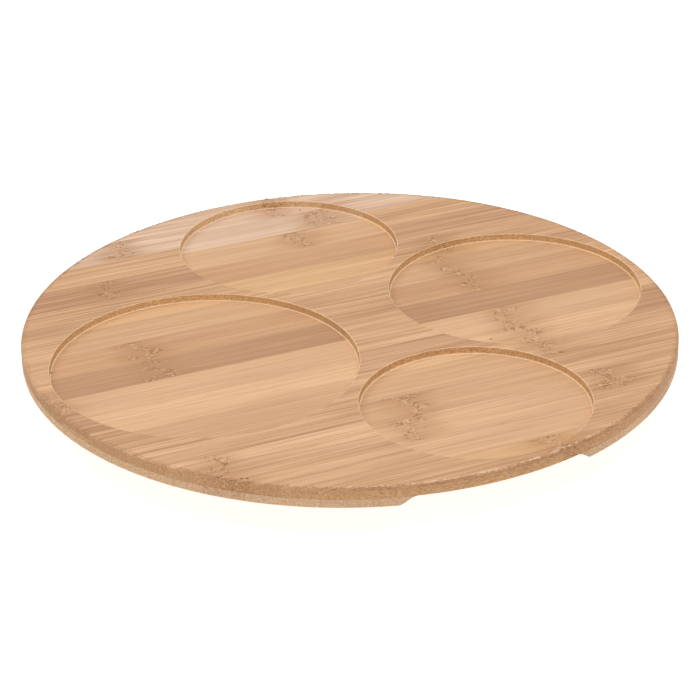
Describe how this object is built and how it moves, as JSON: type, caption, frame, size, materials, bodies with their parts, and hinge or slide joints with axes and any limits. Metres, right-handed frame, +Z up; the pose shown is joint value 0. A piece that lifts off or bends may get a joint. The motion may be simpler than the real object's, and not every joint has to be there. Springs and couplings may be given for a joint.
{
  "type": "lazy susan turntable",
  "caption": "Round bamboo serving board with round bowl seats and finger grips, turning freely on a ball bearing ring above a small padded base.",
  "frame": {"origin": "on the turning axis, in the plane that the foot pads stand on", "axes": "+Z up along the turning axis; X runs parallel to the line through the centres of the two widest bowl seats at rest, which passes 2.6 mm from the axis, with the widest seat at -X; the finger grips are at -Y and +Y"},
  "size_m": [0.35, 0.35, 0.0301],
  "materials": {
    "bamboo_top": "bamboo strips along the board, sanded and oiled, satin",
    "bamboo_backing": "bamboo strips across the upper layer's, sanded and oiled, satin",
    "bamboo_base": "bamboo, sanded and oiled, satin",
    "aluminium_ring": "turned and clear anodised",
    "steel_hardware": "zinc plated",
    "steel_balls": "hardened and polished",
    "nylon_cage": "natural nylon",
    "rubber_pads": "matt black"
  },
  "bodies": {
    "base": {"base_disc": "bamboo_base", "outer_race_ring": "aluminium_ring", "filling_plug": "steel_hardware", "base_screw_1": "steel_hardware", "base_screw_2": "steel_hardware", "base_screw_3": "steel_hardware", "base_screw_4": "steel_hardware", "foot_pad_1": "rubber_pads", "foot_pad_2": "rubber_pads", "foot_pad_3": "rubber_pads", "foot_pad_4": "rubber_pads"},
    "turntable": {"serving_board": "bamboo_top", "backing_board": "bamboo_backing", "inner_race_ring": "aluminium_ring", "board_screw_1": "steel_hardware", "board_screw_2": "steel_hardware", "board_screw_3": "steel_hardware", "board_screw_4": "steel_hardware"},
    "ball_train": {"ball_cage": "nylon_cage", "bearing_ball_01": "steel_balls", "bearing_ball_02": "steel_balls", "bearing_ball_03": "steel_balls", "bearing_ball_04": "steel_balls", "bearing_ball_05": "steel_balls", "bearing_ball_06": "steel_balls", "bearing_ball_07": "steel_balls", "bearing_ball_08": "steel_balls", "bearing_ball_09": "steel_balls", "bearing_ball_10": "steel_balls", "bearing_ball_11": "steel_balls", "bearing_ball_12": "steel_balls", "bearing_ball_13": "steel_balls", "bearing_ball_14": "steel_balls", "bearing_ball_15": "steel_balls", "bearing_ball_16": "steel_balls", "bearing_ball_17": "steel_balls", "bearing_ball_18": "steel_balls", "bearing_ball_19": "steel_balls", "bearing_ball_20": "steel_balls"}
  },
  "joints": [
    {"name": "turntable_spin", "type": "hinge", "parent": "base", "child": "turntable", "pos_m": [0, 0, 0.0145], "axis": [0, 0, 1], "continuous": true},
    {"name": "ball_train_spin", "type": "hinge", "parent": "base", "child": "ball_train", "pos_m": [0, 0, 0.0145], "axis": [0, 0, 1], "continuous": true}
  ],
  "couplings": [
    {"joint": "ball_train_spin", "follows": "turntable_spin", "ratio": 0.4737}
  ]
}
